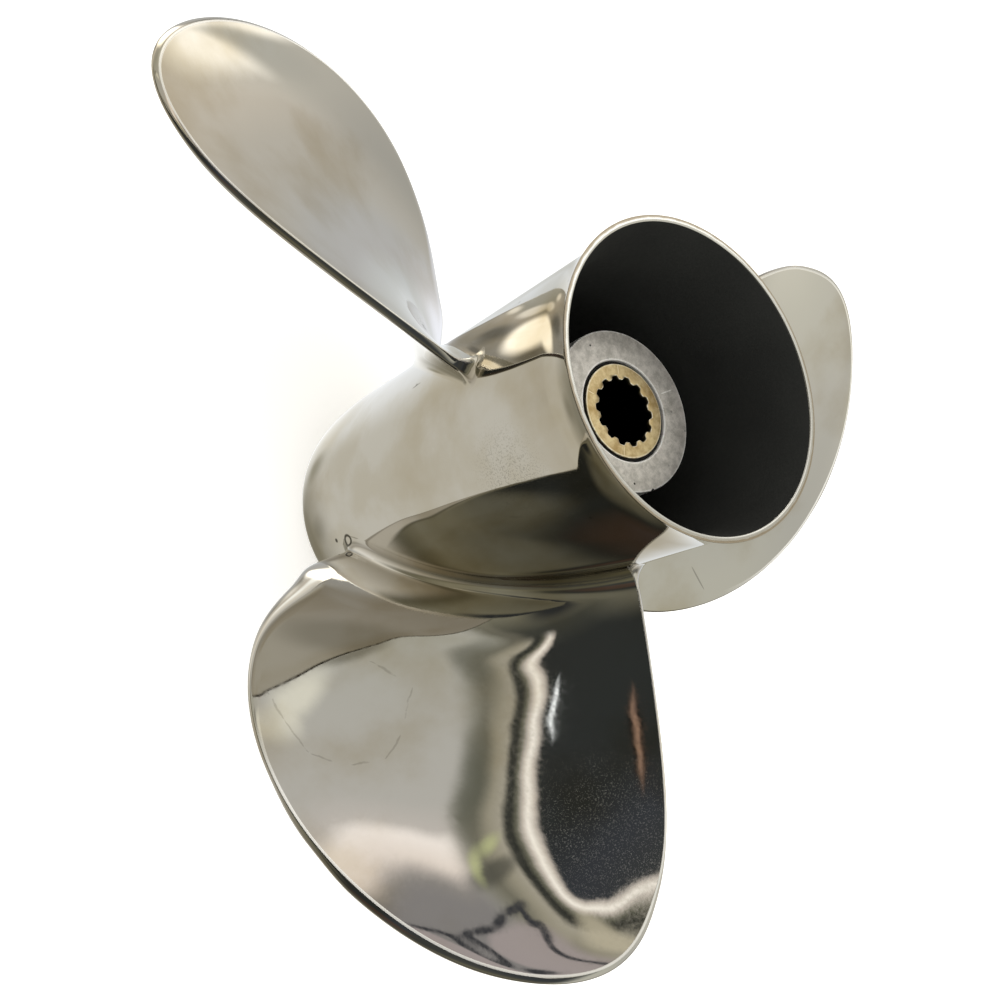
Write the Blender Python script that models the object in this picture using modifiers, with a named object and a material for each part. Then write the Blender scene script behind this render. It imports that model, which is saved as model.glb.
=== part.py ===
"""Three-blade stainless outboard propeller with its exhaust led out through the hub.

The shaft axis is +Z and points aft. The propeller stands on the barrel's front end, at z = 0.
All sizes are in metres, and all angles are in degrees unless a name says otherwise.
"""

import math

import bmesh
import bpy
import numpy as np
from mathutils import Matrix

# Gap that keeps two touching pieces apart
SEAT_GAP = 0.0003

# Hub barrel: a tube with a narrow flare at the exhaust end and a rounded nose
BARREL_LENGTH = 0.1322
RIM_OUTER_RADIUS = 0.0388
RIM_INNER_RADIUS = 0.0374
FLARE_LENGTH = 0.0105
BARREL_AFT_RADIUS = 0.0371
BARREL_MID_RADIUS = 0.0367
BARREL_FORE_RADIUS = 0.0364
NOSE_LENGTH = 0.0284
NOSE_DROP = 0.0042
WALL = 0.0026
EDGE_ROUND = 0.0005
BARREL_STEPS = 72
FLARE_POINTS = 6
OUTER_NOSE_POINTS = 8
INNER_NOSE_POINTS = 6

# Inner hub, the rubber drive bushing in it and the splined sleeve in the bushing
HUB_RADIUS = 0.0210
HUB_FRONT = 0.004
HUB_FACE = 0.1065
HUB_LIP_BORE = 0.0133
HUB_LIP_LENGTH = 0.005
HUB_BORE = 0.0170
BUSHING_FRONT = 0.010
BUSHING_NECK_RADIUS = 0.0130
BUSHING_NECK_DROP = 0.0004
SLEEVE_RADIUS = 0.0121
SLEEVE_FRONT = 0.006
HUB_STEPS = 64

# Splines cut through the sleeve
SPLINE_COUNT = 14
SPLINE_ROOT_RADIUS = 0.0090
SPLINE_CREST_RADIUS = 0.0080
SPLINE_PHASE = 5.1
SPLINE_GROOVE_SHARE = 0.56
SPLINE_FLANK_SHARE = 0.10

# Webs between the inner hub and the barrel, which leave three exhaust passages
RIB_THICKNESS = 0.006
RIB_FRONT = 0.012
RIB_AFT = 0.088

# Blades: a right-hand helical surface, cut to a rounded outline
BLADE_COUNT = 3
FIRST_BLADE_ANGLE = 90.0
ROOT_SINK = 0.004
FILLET_RADIUS = 0.0070
ROOT_THICKNESS = 0.0080
TIP_THICKNESS = 0.0032
EDGE_THICKNESS = 0.0026
# Chord from which a section has its full thickness, and the edge's share of its own at the tip
FULL_CHORD = 0.0208
TIP_EDGE_SHARE = 0.7
# A power under 1 fills the thickness out between the edges, and along the span
FULLNESS = 0.8
# How far the rounded edges stand out, as a share of their thickness
LEADING_NOSE_SHARE = 0.4
TRAILING_NOSE_SHARE = 0.3
# Depth of the hollow in the driving face, as a share of the chord
FACE_HOLLOW = 0.012
CHORD_POINTS = 15
SPAN_STATIONS = 13
# Shares of the fillet's height at which it has a section
FILLET_STATIONS = (0.01, 0.08, 0.2, 0.4, 0.7)
TIP_TRIM = 0.0001
OUTLINE_POINTS = 800

# Outline of a blade's driving face, from the leading edge's root round the tip to the
# trailing edge's root: radius, arc from the blade's middle line, height
BLADE_OUTLINE = (
    (0.0371, -0.0303, 0.0262),
    (0.0518, -0.0442, 0.0289),
    (0.0603, -0.0497, 0.0313),
    (0.0762, -0.0580, 0.0346),
    (0.0951, -0.0595, 0.0439),
    (0.1111, -0.0490, 0.0561),
    (0.1227, -0.0278, 0.0699),
    (0.1307, -0.0021, 0.0797),
    (0.1297, 0.0234, 0.0886),
    (0.1162, 0.0331, 0.0923),
    (0.0936, 0.0335, 0.0943),
    (0.0539, 0.0236, 0.0943),
    (0.0371, 0.0180, 0.0936),
)


def clear_scene():
    for obj in list(bpy.data.objects):
        bpy.data.objects.remove(obj, do_unlink=True)


def new_collection(name, hidden=False):
    made = bpy.data.collections.new(name)
    made.hide_render = hidden
    bpy.context.scene.collection.children.link(made)
    return made


def finish(obj, name, colour, roughness, metallic):
    """Gives the object a material of its own and shades its round sides smooth."""
    made = bpy.data.materials.new(name)
    made.use_nodes = True
    shader = made.node_tree.nodes["Principled BSDF"]
    shader.inputs["Base Color"].default_value = (*colour, 1.0)
    shader.inputs["Roughness"].default_value = roughness
    shader.inputs["Metallic"].default_value = metallic
    obj.data.materials.append(made)
    if obj.type == "MESH":
        obj.data.shade_smooth()
        obj.data.set_sharp_from_angle(angle=math.radians(35))


def polished_stainless(obj):
    finish(obj, obj.name + "_polished_stainless", (0.62, 0.60, 0.56), 0.10, 1.0)


def cast_stainless(obj):
    finish(obj, obj.name + "_cast_stainless", (0.42, 0.42, 0.41), 0.40, 1.0)


def turned(name, profile, steps, collection, closed=True):
    """A shape turned round the shaft axis from (radius, height) points, outer side first, top to bottom."""
    mesh = bpy.data.meshes.new(name)
    count = len(profile)
    edges = [(i, i + 1) for i in range(count - 1)]
    if closed:
        edges.append((count - 1, 0))
    mesh.from_pydata([(radius, 0.0, height) for radius, height in profile], edges, [])
    obj = bpy.data.objects.new(name, mesh)
    collection.objects.link(obj)
    screw = obj.modifiers.new("turn", "SCREW")
    screw.angle = math.tau
    screw.steps = steps
    screw.render_steps = steps
    screw.use_merge_vertices = True
    screw.merge_threshold = 0.00001
    return obj


def cut(obj, cutter, operation):
    boolean = obj.modifiers.new(operation.lower(), "BOOLEAN")
    boolean.operation = operation
    boolean.object = cutter


def make_cutter(obj):
    obj.hide_render = True
    obj.display_type = "WIRE"
    return obj


def barrel_outside(clearance=0.0):
    """Points down the barrel's outer side, from the rim to the nose."""
    points = []
    for share in np.linspace(0, 1, FLARE_POINTS):
        radius = RIM_OUTER_RADIUS + (BARREL_AFT_RADIUS - RIM_OUTER_RADIUS) * (1 - (1 - share) ** 2)
        points.append((radius + clearance, BARREL_LENGTH - EDGE_ROUND - FLARE_LENGTH * share))
    middle = (BARREL_LENGTH - FLARE_LENGTH + NOSE_LENGTH) / 2
    points.append((BARREL_MID_RADIUS + clearance, middle))
    for turn in np.linspace(0, math.pi / 2, OUTER_NOSE_POINTS):
        radius = BARREL_FORE_RADIUS - NOSE_DROP * (1 - math.cos(turn))
        points.append((radius + clearance, NOSE_LENGTH * (1 - math.sin(turn))))
    return points


def barrel_inside(clearance=0.0):
    """Points up the barrel's inner side, from the nose to the rim."""
    points = []
    for turn in np.linspace(math.pi / 2, 0, INNER_NOSE_POINTS):
        radius = BARREL_FORE_RADIUS - WALL - NOSE_DROP * (1 - math.cos(turn))
        points.append((radius - clearance, NOSE_LENGTH * (1 - math.sin(turn))))
    aft = BARREL_LENGTH - FLARE_LENGTH
    points.append((BARREL_AFT_RADIUS - WALL - clearance, aft))
    points.append((RIM_INNER_RADIUS - clearance, BARREL_LENGTH - EDGE_ROUND))
    return points


def hub_barrel(parts):
    rim_face = [
        (RIM_INNER_RADIUS + EDGE_ROUND / 2, BARREL_LENGTH),
        (RIM_OUTER_RADIUS - EDGE_ROUND / 2, BARREL_LENGTH),
    ]
    profile = barrel_outside() + barrel_inside() + rim_face
    obj = turned("hub_barrel", profile, BARREL_STEPS, parts)
    polished_stainless(obj)


def inner_hub(parts):
    profile = [
        (HUB_RADIUS - EDGE_ROUND, HUB_FACE),
        (HUB_RADIUS, HUB_FACE - EDGE_ROUND),
        (HUB_RADIUS, HUB_FRONT + EDGE_ROUND),
        (HUB_RADIUS - EDGE_ROUND, HUB_FRONT),
        (HUB_BORE, HUB_FRONT),
        (HUB_BORE, HUB_FACE - HUB_LIP_LENGTH),
        (HUB_LIP_BORE, HUB_FACE - HUB_LIP_LENGTH),
        (HUB_LIP_BORE, HUB_FACE),
    ]
    cast_stainless(turned("inner_hub", profile, HUB_STEPS, parts))


def rubber_bushing(parts):
    inner = SLEEVE_RADIUS + SEAT_GAP
    shoulder = HUB_FACE - HUB_LIP_LENGTH - SEAT_GAP
    top = HUB_FACE - BUSHING_NECK_DROP
    profile = [
        (BUSHING_NECK_RADIUS, top),
        (BUSHING_NECK_RADIUS, shoulder),
        (HUB_BORE - SEAT_GAP, shoulder),
        (HUB_BORE - SEAT_GAP, BUSHING_FRONT),
        (inner, BUSHING_FRONT),
        (inner, top),
    ]
    obj = turned("rubber_bushing", profile, HUB_STEPS, parts)
    finish(obj, "bushing_rubber", (0.02, 0.02, 0.02), 0.75, 0.0)


def spline_outline():
    """The bore's outline: a groove cut outwards from the crest circle once a tooth."""
    pitch = math.tau / SPLINE_COUNT
    phase = math.radians(SPLINE_PHASE)
    groove = pitch * SPLINE_GROOVE_SHARE / 2
    flank = pitch * SPLINE_FLANK_SHARE
    corners = (
        (-groove - flank, SPLINE_CREST_RADIUS),
        (-groove, SPLINE_ROOT_RADIUS),
        (groove, SPLINE_ROOT_RADIUS),
        (groove + flank, SPLINE_CREST_RADIUS),
    )
    points = []
    for tooth in range(SPLINE_COUNT):
        for turn, radius in corners:
            angle = phase + tooth * pitch + turn
            points.append((radius * math.cos(angle), radius * math.sin(angle)))
    return points


def circle_outline(radius, count):
    angles = [math.tau * i / count for i in range(count)]
    return [(radius * math.cos(angle), radius * math.sin(angle)) for angle in angles]


def spline_sleeve(parts):
    curve = bpy.data.curves.new("spline_sleeve", "CURVE")
    curve.dimensions = "2D"
    curve.fill_mode = "BOTH"
    curve.extrude = (HUB_FACE - SLEEVE_FRONT) / 2
    for outline in (circle_outline(SLEEVE_RADIUS, HUB_STEPS), spline_outline()):
        loop = curve.splines.new("POLY")
        loop.points.add(len(outline) - 1)
        for point, (x, y) in zip(loop.points, outline):
            point.co = (x, y, 0.0, 1.0)
        loop.use_cyclic_u = True
    obj = bpy.data.objects.new("spline_sleeve", curve)
    obj.location.z = (HUB_FACE + SLEEVE_FRONT) / 2
    parts.objects.link(obj)
    finish(obj, "sleeve_brass", (0.60, 0.45, 0.20), 0.35, 1.0)


def exhaust_passage(cutters):
    """The annular space between the inner hub and the barrel, less the seat gaps."""
    inner = HUB_RADIUS + SEAT_GAP
    outside = [(r, z) for r, z in reversed(barrel_inside(SEAT_GAP))]
    profile = outside + [(inner, 0.0), (inner, BARREL_LENGTH - EDGE_ROUND)]
    return make_cutter(turned("exhaust_passage_cutter", profile, BARREL_STEPS, cutters))


def hub_rib(number, angle, passage, parts):
    """A plate from the shaft axis out through the barrel, trimmed to the exhaust passage."""
    bpy.ops.mesh.primitive_cube_add(size=1.0)
    obj = bpy.context.active_object
    obj.name = f"hub_rib_{number}"
    size = Matrix.Diagonal((RIM_OUTER_RADIUS, RIB_THICKNESS, RIB_AFT - RIB_FRONT, 1.0))
    place = Matrix.Translation((RIM_OUTER_RADIUS / 2, 0, (RIB_AFT + RIB_FRONT) / 2))
    turn = Matrix.Rotation(math.radians(angle), 4, "Z")
    obj.data.transform(turn @ place @ size)
    for collection in obj.users_collection:
        collection.objects.unlink(obj)
    parts.objects.link(obj)
    cut(obj, passage, "INTERSECT")
    cast_stainless(obj)


def smooth_path(points, count):
    """A natural cubic spline through the points, read at evenly spaced places."""
    knots = np.array(points)
    last = len(knots) - 1
    system = np.eye(last + 1)
    right = np.zeros_like(knots)
    for i in range(1, last):
        system[i, i - 1 : i + 2] = (1.0, 4.0, 1.0)
        right[i] = 6 * (knots[i - 1] - 2 * knots[i] + knots[i + 1])
    bend = np.linalg.solve(system, right)
    places = np.linspace(0, last, count)
    index = np.minimum(places.astype(int), last - 1)
    b = (places - index)[:, None]
    a = 1 - b
    curved = ((a**3 - a) * bend[index] + (b**3 - b) * bend[index + 1]) / 6
    return a * knots[index] + b * knots[index + 1] + curved


def blade_edges():
    """The leading and trailing edges, each as rows of (radius, arc, height) from root to tip."""
    path = smooth_path(BLADE_OUTLINE, OUTLINE_POINTS)
    tip = int(path[:, 0].argmax())
    return path[: tip + 1], path[tip:][::-1]


def edge_at(edge, radius):
    return np.array([np.interp(radius, edge[:, 0], edge[:, k]) for k in (1, 2)])


def blade_section(leading, trailing, reach, flare):
    """A closed section in arc and height: driving face, trailing edge, back, leading edge.

    Reach is 0 at the root and 1 at the tip, and flare is how far the root fillet stands out.
    """
    share = (1 - np.cos(np.linspace(0, math.pi, CHORD_POINTS))) / 2
    share = share[:, None]
    chord = trailing - leading
    length = np.hypot(*chord)
    along = chord / length
    aft = np.array((-along[1], along[0]))
    belly = 4 * share * (1 - share)
    face = leading + chord * share - aft * belly * FACE_HOLLOW * length
    middle = ROOT_THICKNESS + (TIP_THICKNESS - ROOT_THICKNESS) * reach**FULLNESS
    full = min(1.0, length / FULL_CHORD)
    edge = EDGE_THICKNESS * (TIP_EDGE_SHARE + (1 - TIP_EDGE_SHARE) * full)
    thickness = edge + (middle - edge) * belly**FULLNESS * full
    back = (face - aft * thickness)[::-1]
    trailing_nose = (face[-1] + back[0]) / 2 + along * edge * TRAILING_NOSE_SHARE
    leading_nose = (face[0] + back[-1]) / 2 - along * edge * LEADING_NOSE_SHARE
    loop = np.vstack([face, trailing_nose, back, leading_nose])
    # The loop runs along +arc on its aft side, so its outward side is on its left
    tangent = np.roll(loop, -1, axis=0) - np.roll(loop, 1, axis=0)
    outward = np.column_stack([-tangent[:, 1], tangent[:, 0]])
    outward /= np.linalg.norm(outward, axis=1)[:, None]
    return loop + outward * flare


def fillet_flare(height):
    """How far the root fillet stands out from the blade at a height above the barrel."""
    drop = min(max(FILLET_RADIUS - height, 0.0), FILLET_RADIUS)
    return FILLET_RADIUS - math.sqrt(FILLET_RADIUS**2 - drop**2)


def blade_stations(root, tip):
    """Radii of the sections: close together in the fillet and towards the tip."""
    fillet = [root - ROOT_SINK] + [root + FILLET_RADIUS * share for share in FILLET_STATIONS]
    start = root + FILLET_RADIUS
    turns = np.linspace(0, math.pi / 2, SPAN_STATIONS + 1)[:-1]
    span = [start + (tip - start) * math.sin(turn) for turn in turns]
    return fillet + span + [tip - TIP_TRIM]


def close_section(shell, ring):
    """Closes a section's end with strips from the driving face to the back."""
    face = ring[:CHORD_POINTS]
    back = ring[CHORD_POINTS + 1 : -1][::-1]
    for i in range(CHORD_POINTS - 1):
        shell.faces.new((face[i], face[i + 1], back[i + 1], back[i]))
    shell.faces.new((face[-1], ring[CHORD_POINTS], back[-1]))
    shell.faces.new((back[0], ring[-1], face[0]))


def barrel_seat(cutters):
    """The barrel's outer shape, a seat gap larger, which the blade roots stop against."""
    side = barrel_outside(SEAT_GAP)
    profile = [(0.0, side[0][1])] + side + [(0.0, side[-1][1])]
    return make_cutter(turned("barrel_seat_cutter", profile, BARREL_STEPS, cutters, closed=False))


def blade(number, angle, seat, parts):
    leading_edge, trailing_edge = blade_edges()
    root = BARREL_MID_RADIUS
    tip = leading_edge[-1, 0]
    shell = bmesh.new()
    rings = []
    for radius in blade_stations(root, tip):
        reach = min(max((radius - root) / (tip - root), 0.0), 1.0)
        flare = fillet_flare(radius - root)
        leading = edge_at(leading_edge, radius)
        trailing = edge_at(trailing_edge, radius)
        section = blade_section(leading, trailing, reach, flare)
        turns = section[:, 0] / radius + math.radians(angle)
        ring = np.column_stack([radius * np.cos(turns), radius * np.sin(turns), section[:, 1]])
        rings.append([shell.verts.new(point) for point in ring])
    for lower, upper in zip(rings, rings[1:]):
        for i in range(len(lower)):
            j = (i + 1) % len(lower)
            shell.faces.new((lower[i], lower[j], upper[j], upper[i]))
    for ring in (rings[0], rings[-1]):
        close_section(shell, ring)
    bmesh.ops.recalc_face_normals(shell, faces=shell.faces)
    mesh = bpy.data.meshes.new(f"blade_{number}")
    shell.to_mesh(mesh)
    shell.free()
    obj = bpy.data.objects.new(f"blade_{number}", mesh)
    parts.objects.link(obj)
    cut(obj, seat, "DIFFERENCE")
    polished_stainless(obj)


def build():
    clear_scene()
    parts = new_collection("outboard_propeller")
    cutters = new_collection("cutters", hidden=True)
    hub_barrel(parts)
    inner_hub(parts)
    rubber_bushing(parts)
    spline_sleeve(parts)
    passage = exhaust_passage(cutters)
    seat = barrel_seat(cutters)
    for index in range(BLADE_COUNT):
        angle = FIRST_BLADE_ANGLE + index * 360 / BLADE_COUNT
        hub_rib(index + 1, angle, passage, parts)
        blade(index + 1, angle, seat, parts)


build()
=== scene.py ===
"""Looks of the three-blade stainless outboard propeller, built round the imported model.

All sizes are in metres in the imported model's frame: +Z is the shaft axis and points aft.
"""

import math

import bpy
import numpy as np
from mathutils import Matrix


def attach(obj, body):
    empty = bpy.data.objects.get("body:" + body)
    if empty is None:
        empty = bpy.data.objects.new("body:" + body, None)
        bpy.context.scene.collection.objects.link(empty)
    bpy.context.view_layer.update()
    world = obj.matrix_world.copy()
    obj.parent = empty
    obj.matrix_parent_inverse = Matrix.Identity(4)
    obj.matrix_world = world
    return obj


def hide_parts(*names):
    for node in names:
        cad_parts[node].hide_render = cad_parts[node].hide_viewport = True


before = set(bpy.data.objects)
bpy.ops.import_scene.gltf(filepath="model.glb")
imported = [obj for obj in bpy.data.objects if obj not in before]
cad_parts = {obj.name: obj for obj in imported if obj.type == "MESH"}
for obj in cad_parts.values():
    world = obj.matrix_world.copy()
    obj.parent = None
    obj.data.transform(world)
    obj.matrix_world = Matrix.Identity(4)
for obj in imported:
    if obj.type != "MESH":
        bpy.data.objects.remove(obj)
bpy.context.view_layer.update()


# Hub barrel: the tube that the exhaust leaves through, cast in stainless steel in one piece with
# the blades. Its outside is belt ground and buffed to a mirror, its aft rim is faced on a lathe,
# and its inside stays as cast and is blackened by the exhaust.

BARREL_LENGTH = 0.1322
RIM_OUTER_RADIUS = 0.0390
RIM_INNER_RADIUS = 0.0374
RIM_OUTER_ROUND = 0.00012
RIM_INNER_ROUND = 0.00035
FLARE_LENGTH = 0.0105
BARREL_AFT_RADIUS = 0.0371
BARREL_MID_RADIUS = 0.0367
BARREL_FORE_RADIUS = 0.0364
BARREL_MID_HEIGHT = 0.075
NOSE_LENGTH = 0.0284
NOSE_DROP = 0.0042
WALL = 0.0026
BARREL_STEPS = 384


def colour(code):
    """An sRGB hex colour as linear red, green, blue and alpha."""
    shares = [int(code[i : i + 2], 16) / 255 for i in (1, 3, 5)]
    linear = [s / 12.92 if s <= 0.04045 else ((s + 0.055) / 1.055) ** 2.4 for s in shares]
    return (*linear, 1.0)


def plug(to, *inputs, **named):
    """Sets a node's inputs, in its own order or by name: each is a value, a hex colour or an output
    of another node, which is linked."""
    in_use = [socket for socket in to.inputs if socket.enabled]
    pairs = list(zip(in_use, inputs))
    pairs += [(to.inputs[name.replace("_", " ")], value) for name, value in named.items()]
    for socket, value in pairs:
        if isinstance(value, bpy.types.NodeSocket):
            to.id_data.links.new(value, socket)
        else:
            socket.default_value = colour(value) if isinstance(value, str) else value


# The setting that the second word of a node's kind goes to
MODES = {
    "Math": "operation",
    "VectorMath": "operation",
    "MapRange": "interpolation_type",
    "Mix": "data_type",
    "Attribute": "attribute_name",
}


def node(kind, *inputs, tree=None, output=None, settings=None, **named):
    """Adds a shader node with its settings and links. Gives its first output in use, or the named one."""
    for value in (*inputs, *named.values()):
        if isinstance(value, bpy.types.NodeSocket):
            tree = value.id_data
    kind, _, mode = kind.partition(" ")
    added = tree.nodes.new("ShaderNode" + kind)
    if mode:
        setattr(added, MODES[kind], mode)
    for name, value in (settings or {}).items():
        setattr(added, name, value)
    plug(added, *inputs, **named)
    if output:
        return added.outputs[output]
    return next(socket for socket in added.outputs if socket.enabled)


def start_material(name):
    """A new material, its shader, and the place on the piece, which patterns are read at."""
    material = bpy.data.materials.new(name)
    material.use_nodes = True
    place = node("TexCoord", tree=material.node_tree, output="Object")
    return material, material.node_tree.nodes["Principled BSDF"], place


def barrel_outer_radius(height):
    """Radius of the barrel's outer side at a height: rounded nose, slight taper, flare at the rim."""
    height = np.asarray(height, float)
    knots = (NOSE_LENGTH, BARREL_MID_HEIGHT, BARREL_LENGTH - FLARE_LENGTH)
    radius = np.interp(height, knots, (BARREL_FORE_RADIUS, BARREL_MID_RADIUS, BARREL_AFT_RADIUS))
    up = np.clip(1 - height / NOSE_LENGTH, 0, 1)
    radius = radius - NOSE_DROP * (1 - np.sqrt(1 - up**2))
    along = np.clip((height - knots[2]) / FLARE_LENGTH, 0, 1)
    return radius + (RIM_OUTER_RADIUS - BARREL_AFT_RADIUS) * along**2


def barrel_profile():
    """Radius and height round the wall: up the outside, over the rim, down the inside, nose last."""
    nose = [NOSE_LENGTH * (1 - math.cos(turn)) for turn in np.linspace(0, math.pi / 2, 25)]
    body = list(np.linspace(NOSE_LENGTH, BARREL_LENGTH - FLARE_LENGTH, 40))[1:]
    flare = list(np.linspace(BARREL_LENGTH - FLARE_LENGTH, BARREL_LENGTH - RIM_OUTER_ROUND, 16))[1:]
    heights = nose + body + flare
    outside = [(float(barrel_outer_radius(h)), h) for h in heights]
    corner = [math.radians(turn) for turn in (18, 36, 54, 72, 90)]
    for turn in corner:
        inset = RIM_OUTER_ROUND * (1 - math.cos(turn))
        drop = RIM_OUTER_ROUND * (1 - math.sin(turn))
        outside.append((RIM_OUTER_RADIUS - inset, BARREL_LENGTH - drop))
    inside = []
    for turn in corner[::-1]:
        inset = RIM_INNER_ROUND * (1 - math.cos(turn))
        drop = RIM_INNER_ROUND * (1 - math.sin(turn))
        inside.append((RIM_INNER_RADIUS + inset, BARREL_LENGTH - drop))
    inside.append((RIM_INNER_RADIUS, BARREL_LENGTH - RIM_INNER_ROUND))
    aft = BARREL_LENGTH - FLARE_LENGTH
    for height in (aft, BARREL_MID_HEIGHT, NOSE_LENGTH, *nose[::-1][4::4]):
        inside.append((float(barrel_outer_radius(height)) - WALL, height))
    return outside + inside


def turned(name, profile, steps):
    """A closed wall turned round the shaft axis: one point is extruded along the profile, then spun."""
    bpy.ops.object.select_all(action="DESELECT")
    bpy.ops.mesh.primitive_plane_add(size=0.001, location=(profile[0][0], 0, profile[0][1]))
    obj = bpy.context.active_object
    obj.name = name
    bpy.ops.object.transform_apply(location=True, rotation=True, scale=True)
    bpy.ops.object.mode_set(mode="EDIT")
    bpy.ops.mesh.select_all(action="SELECT")
    bpy.ops.mesh.merge(type="CENTER")
    for (radius, height), (next_radius, next_height) in zip(profile, profile[1:] + profile[:1]):
        step = (next_radius - radius, 0, next_height - height)
        bpy.ops.mesh.extrude_vertices_move(TRANSFORM_OT_translate={"value": step})
    bpy.ops.mesh.select_all(action="SELECT")
    bpy.ops.mesh.remove_doubles(threshold=1e-6)
    bpy.ops.mesh.spin(steps=steps, angle=math.tau, center=(0, 0, 0), axis=(0, 0, 1))
    bpy.ops.mesh.select_all(action="SELECT")
    bpy.ops.mesh.remove_doubles(threshold=1e-6)
    bpy.ops.mesh.normals_make_consistent(inside=False)
    bpy.ops.object.mode_set(mode="OBJECT")
    return obj


barrel = turned("polished_barrel", barrel_profile(), BARREL_STEPS)
bpy.ops.object.shade_smooth_by_angle(angle=math.radians(40))
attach(barrel, "root")
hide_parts("hub_barrel")


def metres(point):
    return tuple(value / 1000 for value in point)


def from_axis(place):
    """Distance in metres from the shaft axis."""
    return node("VectorMath LENGTH", node("Mapping", place, Scale=(1.0, 1.0, 0.0)))


def near(place, point, outer, inner):
    """1 nearer than the inner distance to a point given in mm, 0 beyond the outer one."""
    away = node("VectorMath DISTANCE", place, metres(point))
    return node("MapRange SMOOTHSTEP", away, outer, inner)


def scratch(place, start, end, width):
    """1 on the line between two points in mm, 0 beside it: the way over both ends is shortest there."""
    ways = [node("VectorMath DISTANCE", place, metres(point)) for point in (start, end)]
    length = math.dist(start, end) / 1000
    longer = length + 2 * (width / 2000) ** 2 / length
    return node("MapRange SMOOTHSTEP", node("Math ADD", *ways), longer, length)


# Patterns of the polished steel per metre, and how deep its unevenness is in metres
STAIN_SCALE = 26.0
MOTTLE_SCALE = 70.0
SPECK_SCALE = 2400.0
PIT_SCALE = 75.0
CLOUD_SCALE = 30.0
BUFF_SCALE = 900.0
BUFF_DEPTH = 0.000001
BUFF_STRETCH = 0.06
WAVE_SCALE = 45.0
WAVE_DEPTH = 0.00004
ROUGHNESS_RANGE = (0.015, 0.075)
# The barrel keeps a dull film where the buffing wheel doesn't reach, up to these radii
FILM_RADII = (0.046, 0.039)
FILM_SHARE = 0.32
# Scratches, nicks and cracks: both ends and the width in mm, and their strength
SCRATCHES = (
    ((-11.9, 34.7, 64.3), (-11.5, 34.8, 68.0), 0.5, 0.9),
    ((-63.1, -8.3, 51.9), (-65.5, -9.6, 52.7), 0.4, 0.7),
    ((38.4, -71.1, 45.0), (37.4, -81.2, 43.2), 0.7, 0.4),
)
LIGHT_SCRATCHES = (
    ((-33.5, -28.1, 77.9), (-34.2, -37.5, 86.6)),
    ((-32.0, -29.5, 80.3), (-33.3, -35.1, 85.1)),
)
# A thin wavy water stain on the lowest blade, from point to point in mm, and its sway in metres
STAIN_LINE = (
    (-89.8, 8.0, 43.7),
    (-93.4, 1.4, 47.9),
    (-96.9, -6.7, 52.6),
    (-94.2, -15.3, 56.6),
    (-87.9, -20.8, 59.3),
    (-78.6, -19.8, 59.0),
    (-67.5, -15.7, 57.4),
    (-67.8, -5.9, 50.3),
)
STAIN_SWAY = 0.0032
SWAY_SCALE = 150.0
# Single marks: their places in mm, and the distances in metres between which each one fades
WORN_PLACE, WORN_RADII = (-35.2, 11.2, 101.0), (0.016, 0.003)
DUST_PLACE, DUST_RADII = (-72.0, -66.0, 88.0), (0.024, 0.008)
SPOT_PLACE, SPOT_RADII = (-33.3, 14.1, 19.9), (0.0008, 0.0004)
PORE_PLACE, PORE_OUTSIDE, PORE_INSIDE = (-34.0, 12.9, 25.9), (0.0021, 0.0016), (0.0009, 0.0013)
GRIME = "#4B473C"


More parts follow.
